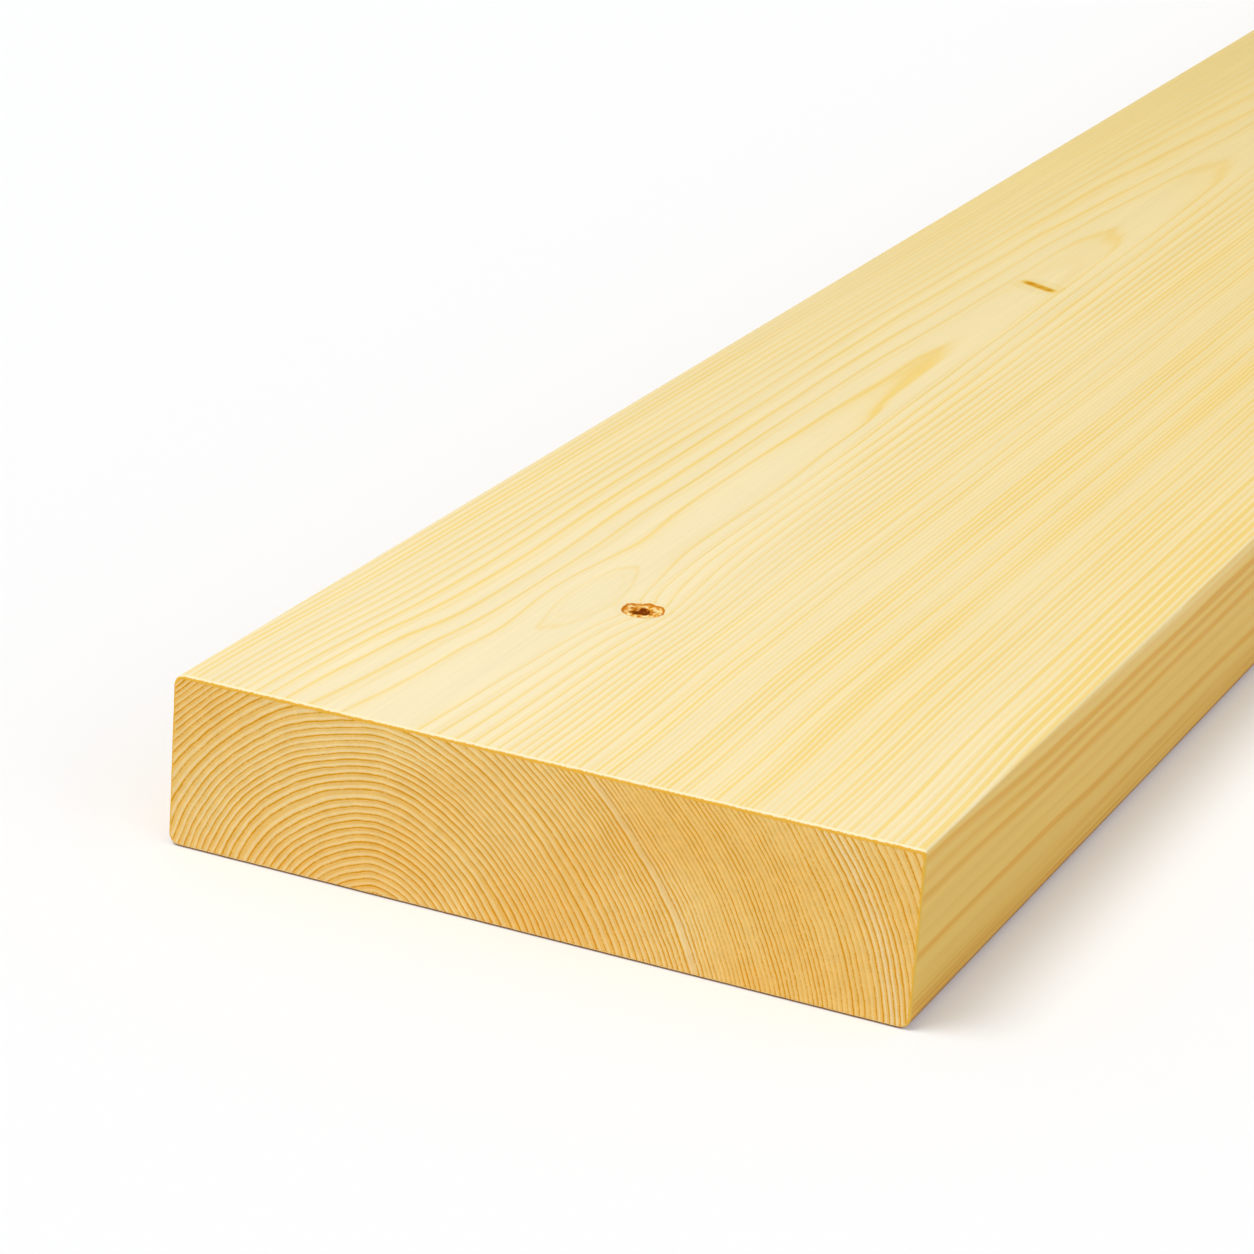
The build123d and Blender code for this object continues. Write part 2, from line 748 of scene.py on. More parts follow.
    def _tinted(self, colour: "Term | Rgb", share: Term, tint: "Term | Rgb") -> Term:
        """Multiply a colour by a tint, as far as the share says."""
        return self._mixed(share.at_least(0.0).at_most(1.0), colour, tint, "MULTIPLY")

    @staticmethod
    def _toned(colour: Term, amount: Term) -> Term:
        """Multiply each part of a colour by the amount."""
        made = node(colour.tree, "ShaderNodeVectorMath", {0: colour, "Scale": amount}, operation="SCALE")
        return Term(colour.tree, made.outputs[0])

    @staticmethod
    def _line(past: Term, outer: float, inner: float) -> Term:
        """A dark line, from the millimetres past its middle, with a width outwards and one inwards."""
        return (past.at_least(0.0) / outer - past.at_most(0.0) / inner).hump(1.0)

    def _ring_lines(self, spot: Spot, wide: Term, quiet: Term) -> Term:
        """Draw the rings on the planed timber.

        Args:
            spot: The point.
            wide: 1 on the faces and 0 on the edges.
            quiet: 1 where the lines are faint.

        Returns:
            How strongly a dark line shows.
        """
        place, rings, narrow = spot.place, spot.rings, 1.0 - wide
        own = rings.chance * 0.75 + 0.45
        own = own + (0.85 - own) * rings.girth.ease(70.0, 66.0)
        own = own * wide + (rings.chance.ease(0.3, 0.7) * 1.1 + 0.3) * narrow
        strength = rings.girth.curve(self.face_lines) * own * (1.0 + place.grain(30.0, 90.0, 14.0))
        strength = strength * (1.0 - place.y.ease(250.0, 900.0) * 0.3) * (1.0 - quiet * 0.6)
        spread = (rings.slope * 1.7).at_least(0.5) * wide + (rings.lift * 2.0).at_least(0.35) * narrow
        past = rings.past / (spread * (1.0 + place.y.ease(280.0, 800.0) * 0.5))
        fine = self._line(past, 0.17, 0.27) * 0.85 + self._line(past, 0.32, 1.0) * 0.35
        broad = self._line(past, 0.30, 0.65) * 0.8
        soft = narrow.at_least(rings.girth.ease(95.0, 125.0) * 0.45)
        between = (rings.off + 0.36).hump(0.07) * rings.chance.ease(0.3, 0.8) * wide * 0.4
        return (fine + (broad - fine) * soft + between) * strength

    def _planed(self, spot: Spot) -> Term:
        """Colour the planed faces and edges.

        Args:
            spot: The point.

        Returns:
            The colour.
        """
        place, level = spot.place, spot.level
        wide = level.size().ease(0.25, 0.9)
        quiet = place.x.ease(-58.0, -82.0) * place.y.ease(230.0, 480.0) * wide
        # painted shade and tone: the faces grow darker and more ochre away from the near end as the light
        # falls off, with slow random tone along the plank
        away = 1.0 - (place.y / -520.0).maths("EXPONENT") - place.y.ease(850.0, 1700.0) * 0.6
        away = away + place.grain(170.0, 900.0, 21.0) * 0.4 + quiet * 0.08
        # painted highlight: the edges grow paler towards their top, more so farther from the near end
        pale = place.z.ease(38.0, 44.5) * (place.y.ease(20.0, 240.0) * 0.6 + 0.2)
        narrow = self._mixed(pale, self.edge, self.edge_top_highlight)
        narrow = self._tinted(narrow, place.z.ease(13.0, 3.0), self.edge_foot)
        colour = self._mixed(wide, narrow, self._tinted(self.face, away, self.ochre_and_falloff_shade))
        line_tint = self._mixed(wide, self.edge_line, self.face_line)
        colour = self._tinted(colour, self._ring_lines(spot, wide, quiet), line_tint)
        dense = place.grain(0.5, 160.0, 35.0, 1.0, 0.45) * place.z.ease(12.0, 6.0) * (1.0 - wide)
        colour = self._tinted(colour, dense * 8.0, self.edge_line)
        # painted shade: the down-facing lower arrises are darkened to brown, standing in for the shade next
        # to the floor
        shaded_lower_arris = level.ease(-0.05, -0.42) * level.ease(-1.0, -0.95)
        colour = self._tinted(colour, shaded_lower_arris, self.underside_shade)
        streaks = place.grain(0.7, 60.0, 31.0, 1.0) * 0.09 + place.grain(7.0, 240.0, 33.0, 1.0) * 0.06
        # the grain streaks, and painted shade that darkens the surface slightly from 550 mm along
        return self._toned(colour, streaks + 1.0 - place.y.ease(550.0, 950.0) * 0.04)

    def _sawn(self, spot: Spot) -> Term:
        """Colour the sawn ends.

        Args:
            spot: The point.

        Returns:
            The colour.
        """
        place, rings = spot.place, spot.rings
        broken = 1.0 + place.grain(0.75, 0.75, 41.0, 1.0) * 2.4 + place.grain(6.0, 6.0, 43.0, 1.0) * 1.6
        strength = rings.girth.curve(self.end_lines) * (0.45 + rings.chance) * broken
        warm = place.grain(26.0, 26.0, 45.0, 1.0) * 2.0 + 0.35 - rings.off * 0.5
        warm = warm + rings.girth.ease(70.0, 105.0) * 0.1 + place.x.curve(self.end_warmth)
        colour = self._tinted(self.end, warm, self.end_warm)
        cream = (rings.past - 0.60).hump(0.30) * rings.girth.curve(self.end_cream_rings)
        for middle, width, share in self.end_cream_bands:
            cream = cream + (rings.girth - middle).hump(width) * share
        colour = self._tinted(colour, cream, self.end_cream)
        line = self._line(rings.past, 0.11, 0.15) * 1.65 + self._line(rings.past, 0.22, 0.65) * 0.18
        colour = self._tinted(colour, line * strength, self.end_line)
        flecks = place.grain(0.33, 0.33, 47.0, 2.0) * 0.20 + place.grain(2.4, 2.4, 49.0) * 0.1
        return self._toned(colour, flecks + 1.0)

    def _rims(self, spot: Spot, colour: Term) -> Term:
        """Colour the broken fibres round the rims of the ends, with a painted highlight where a rim faces up
        and painted shade along its bottom.

        Args:
            spot: The point.
            colour: The colour so far.

        Returns:
            The colour.
        """
        place, level, half = spot.place, spot.level, self.stock.length / 2
        inside = self.stock.wire_depth_inside(place)
        ragged = inside + place.grain(0.5, 0.5, 51.0, 1.0) * 1.1 - place.z.ease(42.3, 43.5) * 0.55
        broken = self._mixed(place.z.ease(1.9, 1.2), self.rim_amber, self.rim_dull)
        colour = self._mixed(ragged.ease(0.75, 0.45) * 0.95, colour, broken)
        from_end = half - (place.y - half).size()
        worn = self._mixed(from_end.ease(0.08, 0.22), self.rim_amber, self.edge)
        # painted highlight: the rim turns cream where it faces up, with a ragged edge to the highlight
        upward_highlight = level + place.grain(0.6, 0.6, 53.0, 1.0) * 0.9
        worn = self._mixed(upward_highlight.ease(0.32, 0.5), worn, self.rim_highlight)
        # painted shade: the lowest part of the rim is darkened to brown, standing in for the contact shade
        # where the end meets the floor
        worn = self._mixed(place.z.ease(0.6, 0.38), worn, self.rim_contact_shade)
        inside = inside + level.size().ease(0.35, 0.08) * 0.22
        return self._mixed(inside.ease(0.62, 0.45), colour, worn)

    def _knot(self, place: Place, colour: Term) -> Term:
        """Colour the knot: resin-dark bark round it, pale wood inside and a dark chip.

        Args:
            place: The point in the timber.
            colour: The colour so far.

        Returns:
            The colour.
        """
        knot = self.knot
        x, y = place.x - knot.x, place.y - knot.y
        reach = (x * x + y * y) ** 0.5 + place.grain(3.2, 3.2, 61.0, 1.0) * 1.2
        colour = self._mixed(reach.ease(7.6, 5.6) * 0.3, colour, self.face)
        patches = place.grain(1.3, 2.4, 63.0, 2.0)
        wood = self._mixed((patches * 5.0 + 0.6).ease(0.0, 1.0), self.knot_pale, self.knot_tan)
        wood = self._mixed((patches * 5.0 - 0.25).ease(0.0, 0.8), wood, self.knot_amber)
        x, y = x - knot.chip_x, y - knot.chip_y
        chip = (x * x + y * y) ** 0.5 + place.grain(1.3, 2.2, 65.0, 2.0) * 5.0
        wood = self._mixed(chip.ease(3.8, 2.6), wood, self.knot_amber)
        wood = self._mixed(chip.ease(2.9, 2.0), wood, self.knot_dark)
        bark = (reach - (knot.radius - knot.groove * 0.2)).hump(0.34)
        wood = self._mixed(bark * (1.2 + patches * 0.8), wood, self.knot_amber)
        return self._mixed(reach.ease(knot.radius + 0.3, knot.radius), colour, wood)

    def _pocket(self, place: Place, colour: Term) -> Term:
        """Colour the resin pocket and the stain round it.

        Args:
            place: The point in the timber.
            colour: The colour so far.

        Returns:
            The colour.
        """
        along, across = self.pocket.own_axes(place.x, place.y)
        along, across = along / (self.pocket.length / 2), across / (self.pocket.width / 2 + 0.6)
        shape = (along**6 + across * across) ** 0.5 + place.grain(1.4, 1.4, 71.0, 1.0) * 0.25
        colour = self._tinted(colour, shape.ease(1.8, 0.9) * 0.9, self.face_line)
        colour = self._mixed(shape.ease(1.25, 0.55) * 0.95, colour, self.resin)
        spots = (along + 0.6).hump(0.34) + (along - 0.05).hump(0.25) * 0.7 + (along - 0.65).hump(0.28) * 0.9
        return self._mixed(shape.ease(1.15, 0.4) * spots.at_most(1.0), colour, self.resin_dark)


class Part(Enum):
    """The parts of the surface that each have a finish of their own."""

    PLANED = 0
    SAWN = 1
    KNOT = 2
    POCKET = 3


FINISH_NAMES = {
    Part.PLANED: "planed_timber",
    Part.SAWN: "sawn_end_grain",
    Part.KNOT: "dead_knot",
    Part.POCKET: "resin_pocket",
}


@dataclass
class Skin:
    """A growing mesh, in millimetres from the near end."""

    points: list[Array] = field(default_factory=list)
    triangles: list[Array] = field(default_factory=list)
    parts: list[Array] = field(default_factory=list)
    ways: list[Array] = field(default_factory=list)
    sawn: list[Array] = field(default_factory=list)
    count: int = 0

    def add(
        self, points: Array, triangles: Array, part: Array | int, outward: Array, way: Array, sawn: Array
    ) -> None:
        """Add a patch of the surface, with its triangles turned outwards.

        Args:
            points: Its points.
            triangles: Three point numbers for each triangle.
            part: The island of each triangle.
            outward: The outward direction at each point.
            way: The way round the section at each point.
            sawn: How far the ring relief reaches each point, with its sign along the plank.
        """
        a, b, c = (points[triangles[:, k]] for k in range(3))
        turned = (np.cross(b - a, c - a) * outward[triangles].mean(1)).sum(1) < 0
        triangles = np.where(turned[:, None], triangles[:, ::-1], triangles)
        self.points.append(points)
        self.triangles.append(triangles + self.count)
        self.parts.append(np.broadcast_to(part, len(triangles)))
        self.ways.append(way)
        self.sawn.append(sawn)
        self.count += len(points)


def flat_mesh(points: Array, edges: Iterable[tuple[int, int]]) -> tuple[Array, Array]:
    """Triangulate points in a plane inside their outermost edges.

    Args:
        points: The points.
        edges: Pairs of point numbers that have to stay edges.

    Returns:
        The numbers of the points used, and three of those points' places for each triangle.
    """
    made = delaunay_2d_cdt([Vector(p) for p in points], list(edges), [], 1, 1e-6)
    return np.array([given[0] for given in made[3]]), np.array(made[2])


def hex_points(half_long: float, half_wide: float, gap: float) -> Array:
    """Points at even gaps that fill an ellipse.

    Args:
        half_long: Its half length, along the first axis.
        half_wide: Its half width.
        gap: How far apart the points are.

    Returns:
        The points.
    """
    rows = int(half_wide / (gap * 0.866)) + 1
    columns = int(half_long / gap) + 1
    found = []
    for row in range(-rows, rows + 1):
        shift = gap / 2 * (row % 2)
        found += [(column * gap + shift, row * gap * 0.866) for column in range(-columns, columns + 1)]
    found = np.array(found)
    return found[(found[:, 0] / half_long) ** 2 + (found[:, 1] / half_wide) ** 2 < 1]


def oval(half_long: float, half_wide: float, number: int) -> Array:
    """Points at even turns round an ellipse."""
    turn = np.arange(number) * (2 * math.pi / number)
    return np.stack([np.cos(turn) * half_long, np.sin(turn) * half_wide], 1)


@dataclass
class Knot:
    """The dead knot: its sunk face, the groove of its lost bark and the chip out of its middle.

    Attributes:
        sizes: Its sizes.
        gap: How far apart the points over it are.
        reach: How far out its relief goes.
        rows: The radius of each row of points round it, and how many they are.
    """

    sizes: KnotSizes
    gap: float = 0.3
    reach: float = 7.6
    rows: tuple[tuple[float, int], ...] = ((8.6, 48), (10.5, 36), (14.0, 28), (20.0, 20))

    def points(self) -> Array:
        """Spread points over the knot, close enough together for its relief.

        Returns:
            The points, across the face and along the plank.
        """
        around = [oval(far, far, number) for far, number in self.rows]
        spread = np.concatenate([hex_points(self.reach, self.reach, self.gap), *around])
        return spread + (self.sizes.x, self.sizes.y)

    def height(self, x: Array, y: Array) -> Array:
        """How far the knot's surface lies below the face.

        Args:
            x: Places across the face.
            y: Places along the plank.

        Returns:
            Heights, 0 or less.
        """
        sizes = self.sizes
        x, y = x - sizes.x, y - sizes.y
        turn = np.arctan2(y, x)
        ragged = 0.16 * np.sin(3 * turn + 1.0) + 0.12 * np.sin(7 * turn) + 0.07 * np.sin(13 * turn + 2.0)
        reach = np.hypot(x, y) - ragged + 0.12
        middle = sizes.radius - sizes.groove / 2
        groove = np.exp(-(((reach - middle) / (sizes.groove * 0.42)) ** 2)) * (sizes.groove_depth - 0.15)
        sunk = sizes.sink * smooth(sizes.radius - 0.3, middle - 0.3, reach)
        flakes = 0.07 * np.sin(2.9 * x + 1.3 * y) * np.sin(2.1 * y - 1.1 * x + 1.0)
        chip_reach = np.hypot(x - sizes.chip_x, y - sizes.chip_y) - 0.25 * np.sin(5 * turn + 0.6)
        chip = sizes.chip_depth * np.clip(1 - (chip_reach / sizes.chip_radius) ** 2, 0, 1) ** 0.7
        inside = smooth(middle, middle - 0.6, reach)
        rolled = 0.05 * np.exp(-(((reach - sizes.radius - 0.3) / 0.5) ** 2))
        depth = groove + sunk + inside * (flakes + 0.07) + chip + rolled
        return -depth * smooth(self.reach - 0.3, self.reach - 1.2, reach)


@dataclass
class ResinPocket:
    """The boat-shaped hollow of the resin pocket.

    Attributes:
        sizes: Its sizes.
        gap: How far apart the points over it are.
        rows: The half length and half width of each row of points round it, and how many they are.
    """

    sizes: PocketSizes
    gap: float = 0.3
    rows: tuple[tuple[float, float, int], ...] = ((9.0, 3.25, 36), (10.32, 4.68, 26), (13.2, 7.8, 18))

    def points(self) -> Array:
        """Spread points over the pocket, close enough together for its relief.

        Returns:
            The points, across the face and along the plank.
        """
        around = [oval(long, wide, number) for long, wide, number in self.rows]
        near = hex_points(self.sizes.length / 2 + 1.2, self.sizes.width / 2 + 0.9, self.gap)
        near = np.concatenate([near, *around])
        cos, sin = math.cos(self.sizes.turn), math.sin(self.sizes.turn)
        return near @ np.array([[cos, sin], [-sin, cos]]) + (self.sizes.x, self.sizes.y)

    def height(self, x: Array, y: Array) -> Array:
        """How far the hollow lies below the face.

        Args:
            x: Places across the face.
            y: Places along the plank.

        Returns:
            Heights, 0 or less.
        """
        sizes = self.sizes
        along, across = sizes.own_axes(x, y)
        across = across + 0.15 * np.sin(1.3 * along) + 0.08 * np.sin(3.1 * along + 1.0)
        shape = np.clip(1 - (2 * along / sizes.length) ** 2, 0, 1) * (sizes.width / 2)
        hollow = np.clip(1 - (across / np.maximum(shape, 1e-6)) ** 2, 0, 1) * (shape > 0)
        depth = sizes.depth * (0.75 + 0.25 * np.sin(1.9 * along + 0.5))
        return -depth * hollow * np.clip(shape / (sizes.width / 2), 0, 1)


@dataclass
class SawnEnd:
    """One sawn end, with points that lie along its growth rings, so that they stand out in relief.

    Attributes:
        stock: The sizes of the plank.
        near: Whether it is the near end.
        seed: The seed of its rim's unevenness.
        fan: How many spokes look for the rings.
        line_gap: How far apart points on a ring are at least.
        phases: Where between two rings the rows of points lie, in rings.
        probe_gap: How far apart the rings' ages are measured.
        hub_shift: How far right of the pith the spokes meet.
        nearest: Where the spokes start.
        farthest: Where they end.
        spoke_step: The step along a spoke.
        bare_edge: How far inside the rim the points start.
    """

    stock: Stock
    near: bool
    seed: int
    fan: int = 416
    line_gap: float = 1.2
    phases: tuple[float, ...] = (-0.15, 0.0, 0.14, 0.36, 0.62)
    probe_gap: float = 0.35
    hub_shift: float = 3.0
    nearest: float = 10.0
    farthest: float = 156.0
    spoke_step: float = 0.12
    bare_edge: float = 0.95

    @property
    def away(self) -> float:
        """1 at the near end, and -1 at the far end: the way into the wood."""
        return 1.0 if self.near else -1.0

    @property
    def plane(self) -> float:
        """How far along the plank the end lies."""
        return 0.0 if self.near else self.stock.length

    def along_rings(self, relief: "RingRelief", rings: GrowthRings) -> Array:
        """Points along the growth rings.

        Args:
            relief: The tree that knows the rings' ages.
            rings: The rule that they follow.

        Returns:
            The points, across the face and up.
        """
        gap, hub = self.probe_gap, rings.pith_x + self.hub_shift
        xs = np.arange(-self.stock.width / 2 - gap, self.stock.width / 2 + 2 * gap, gap)
        zs = np.arange(-gap, self.stock.thickness + 2 * gap, gap)
        grid = np.stack(np.meshgrid(xs, zs, indexing="ij"), -1).reshape(-1, 2)
        ages = relief.ages(np.stack([grid[:, 0], np.full(len(grid), self.plane), grid[:, 1]], 1))
        ages = ages.reshape(len(xs), len(zs))
        turns = np.linspace(0.02, math.pi - 0.02, self.fan)
        reach = np.arange(self.nearest, self.farthest, self.spoke_step)
        x = hub + np.cos(turns)[:, None] * reach
        z = rings.pith_z + np.sin(turns)[:, None] * reach
        i, j = (x - xs[0]) / gap, (z - zs[0]) / gap
        last_i, last_j = len(xs) - 1.001, len(zs) - 1.001
        held = (i >= 0) & (i < last_i) & (j >= 0) & (j < last_j)
        i, j = np.clip(i, 0, last_i), np.clip(j, 0, last_j)
        a, b = i.astype(int), j.astype(int)
        u, v = i - a, j - b
        low = ages[a, b] * (1 - u) + ages[a + 1, b] * u
        high = ages[a, b + 1] * (1 - u) + ages[a + 1, b + 1] * u
        age = low * (1 - v) + high * v
        found = []
        spoke = math.pi / self.fan
        for number, phase in enumerate(self.phases):
            level = np.floor(age - phase)
            crossed = (level[:, 1:] > level[:, :-1]) & held[:, 1:] & held[:, :-1]
            ray, at = np.nonzero(crossed)
            growth = np.maximum(age[ray, at + 1] - age[ray, at], 1e-9)
            share = (level[ray, at + 1] + phase - age[ray, at]) / growth
            radius = reach[at] + np.clip(share, 0, 1) * self.spoke_step
            every = 2.0 ** np.floor(np.log2(np.maximum(self.line_gap / (radius * spoke), 1.0)))
            offset = np.where((level[ray, at + 1] + number) % 2 > 0, every // 2, 0)
            kept = (ray - offset) % every == 0
            turn, radius = turns[ray[kept]], radius[kept]
            found.append(np.stack([hub + np.cos(turn) * radius, rings.pith_z + np.sin(turn) * radius], 1))
        return np.concatenate(found)

    def build(
        self, skin: Skin, rim: Array, inner: Array, relief: "RingRelief", rings: GrowthRings
    ) -> None:
        """Add the end's surface to the plank's skin.

        Args:
            skin: The plank's mesh so far.
            rim: The inner edge of the worn rim, as points in space.
            inner: A second row of points a little way in.
            relief: The tree that knows the rings' ages.
            rings: The rule that they follow.
        """
        body = self.along_rings(relief, rings)
        body = body[self.stock.depth_inside(body[:, 0], body[:, 1]) > self.stock.rim + self.bare_edge]
        flat = np.concatenate([rim[:, [0, 2]], inner, body])
        loop = np.arange(len(rim))
        used, triangles = flat_mesh(flat, zip(loop.tolist(), np.roll(loop, -1).tolist()))
        points = flat[used]
        depth = self.stock.depth_inside(points[:, 0], points[:, 1])
        along = np.concatenate([rim[:, 1], np.full(len(flat) - len(rim), self.plane)])
        space = np.stack([points[:, 0], along[used], points[:, 1]], 1)
        reach = (used >= len(rim)) * smooth(0.4, 1.6, depth)
        outward = np.broadcast_to((0.0, -self.away, 0.0), space.shape)
        skin.add(space, triangles, Part.SAWN.value, outward, np.zeros(len(space)), reach * self.away)


@dataclass
class RingRelief:
    """The Geometry Nodes tree that raises the growth rings on the sawn ends.

    Attributes:
        stock: The sizes of the plank.
        rings: The rule that the rings follow.
        knot: The knot that they bend round.
        depth: How deep the soft wood between the rings lies.
        tear: How deep the torn fibres are.
        boldness: How far the rings stand out, by their girth.
    """

    stock: Stock
    rings: GrowthRings
    knot: KnotSizes
    depth: float = 0.095
    tear: float = 0.10
    boldness: Curve = (
        (0, 1.0), (92, 1.0), (97, 0.45), (131, 0.45), (134, 1.0), (139, 1.0), (142, 0.6), (160, 0.6),
    )

    def __post_init__(self) -> None:
        """Build the tree once."""
        self.tree = self._build()

    def _build(self) -> Tree:
        """Wire the tree.

        Returns:
            The tree, with its sizes and its material as named inputs.
        """
        tree = bpy.data.node_groups.new("raised_growth_rings", "GeometryNodeTree")
        kinds = {"Geometry": "Geometry", "Ring depth": "Float", "Torn fibre depth": "Float"}
        for name, kind in (kinds | {FINISH_NAMES[part]: "Material" for part in Part}).items():
            tree.interface.new_socket(name, in_out="INPUT", socket_type=f"NodeSocket{kind}")
        tree.interface.new_socket("Geometry", in_out="OUTPUT", socket_type="NodeSocketGeometry")
        given = node(tree, "NodeGroupInput", {}).outputs
        place = Place.read(tree, node(tree, "GeometryNodeInputPosition", {}).outputs[0], self.stock)
        rings = self.rings.wire(place, self.knot)
        sawn = node(tree, "GeometryNodeInputNamedAttribute", {"Name": "sawn"}, data_type="FLOAT")

        own = (0.7 + rings.chance * 0.5) * rings.girth.curve(self.boldness)
        ridge = rings.past.hump(0.30) * own
        soft = (rings.past - 0.75).hump(0.5)
        hollow = (1.0 - ridge).at_least(0.0) * 0.7 + soft * 0.3
        torn = (place.grain(0.9, 0.9, 81.0, 1.0) + 0.3).at_least(0.0)
        deep = Term(tree, given["Ring depth"]) * hollow + Term(tree, given["Torn fibre depth"]) * torn
        moved = node(tree, "ShaderNodeCombineXYZ", {1: deep * Term(tree, sawn.outputs["Attribute"]) * MM})

        stored = {"Geometry": given["Geometry"], "Name": "ring_age", "Value": rings.age}
        age = node(tree, "GeometryNodeStoreNamedAttribute", stored, data_type="FLOAT", domain="POINT")
        moves = {"Geometry": age.outputs[0], "Offset": moved.outputs[0]}
        raised = node(tree, "GeometryNodeSetPosition", moves)
        surface = node(tree, "GeometryNodeRealizeInstances", {0: raised.outputs[0]}).outputs[0]
        for part in Part:
            surface = self._painted(tree, surface, part, given[FINISH_NAMES[part]])
        node(tree, "NodeGroupOutput", {0: surface})
        return tree

    @staticmethod
    def _painted(tree: Tree, surface: Socket, part: Part, finish: Socket) -> Socket:
        """Give one part of the surface its material.

        Args:
            tree: The tree to work in.
            surface: The surface so far.
            part: The part.
            finish: Its material.

        Returns:
            The surface with the material.
        """
        which = node(tree, "GeometryNodeInputNamedAttribute", {"Name": "part"}, data_type="INT")
        same = node(tree, "FunctionNodeCompare", {}, data_type="INT", operation="EQUAL")
        plug(tree, which.outputs["Attribute"], same.inputs[2])
        plug(tree, part.value, same.inputs[3])
        given = {"Geometry": surface, "Selection": same.outputs[0], "Material": finish}
        return node(tree, "GeometryNodeSetMaterial", given).outputs[0]

    def applied(self, mesh: bpy.types.Mesh, finishes: dict[Part, bpy.types.Material]) -> bpy.types.Mesh:
        """Run the tree on a mesh.

        Args:
            mesh: The mesh to start from.
            finishes: The materials, or none for a mesh that is only measured.

        Returns:
            A new plain mesh.
        """
        holder = bpy.data.objects.new("blank", mesh)
        bpy.context.scene.collection.objects.link(holder)
        modifier = holder.modifiers.new("raised_growth_rings", "NODES")
        modifier.node_group = self.tree
        named = {s.name: s.identifier for s in self.tree.interface.items_tree if s.in_out == "INPUT"}
        modifier[named["Ring depth"]] = self.depth
        modifier[named["Torn fibre depth"]] = self.tear
        for part, finish in finishes.items():
            modifier[named[FINISH_NAMES[part]]] = finish
        graph = bpy.context.evaluated_depsgraph_get()
        shown = holder.evaluated_get(graph)
        made = bpy.data.meshes.new_from_object(shown, preserve_all_data_layers=True, depsgraph=graph)
        bpy.data.objects.remove(holder)
        return made

    def ages(self, points: Array) -> Array:
        """The age of the wood at points.

        Args:
            points: Points in millimetres from the near end.

        Returns:
            Years.
        """
        mesh = bpy.data.meshes.new("probe")
        mesh.from_pydata(in_metres(points, self.stock), [], [])
        made = self.applied(mesh, {})
        found = np.empty(len(points), np.float32)
        made.attributes["ring_age"].data.foreach_get("value", found)
        bpy.data.meshes.remove(made)
        bpy.data.meshes.remove(mesh)
        return found.astype(float)


def in_metres(points: Array, stock: Stock) -> Array:
    """Turn millimetres from the near end into metres in the part's frame."""
    return (points - (0.0, stock.length / 2, 0.0)) * MM


